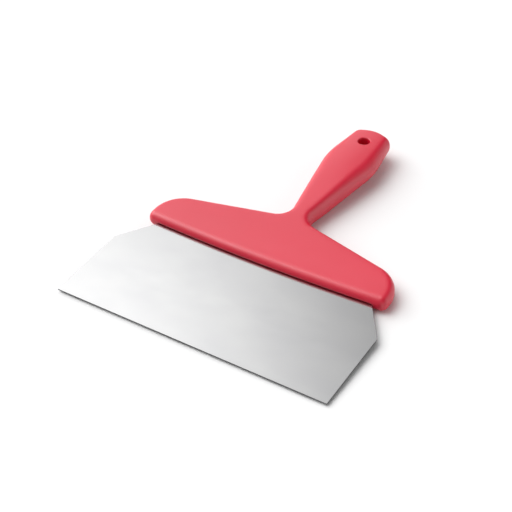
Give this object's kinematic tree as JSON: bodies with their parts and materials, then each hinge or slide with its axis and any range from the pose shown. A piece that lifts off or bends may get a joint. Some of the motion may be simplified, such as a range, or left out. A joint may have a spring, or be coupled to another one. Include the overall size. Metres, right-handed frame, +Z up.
{
  "type": "bench scraper",
  "caption": "Wide bench scraper: a flat stainless blade with slanted shoulders, set in a one-piece moulded plastic handle with a swelling grip and a hanging hole.",
  "frame": {"origin": "on the table under the middle of the tool's overall box, with the scraper lying as it rests: on the underside of the handle's head and the belly of its grip, its working edge just clear of the table", "axes": "+X along the working edge, +Y from the working edge to the grip, +Z up from the table; the blade leans up towards the handle by about 2.0 degrees"},
  "size_m": [0.24, 0.2938, 0.0233],
  "materials": {
    "blade_steel": "satin, fine straight grain",
    "handle_plastic": "matte coral red with a fine moulded texture"
  },
  "bodies": {
    "root": {"blade": "blade_steel", "handle": "handle_plastic"}
  },
  "joints": []
}
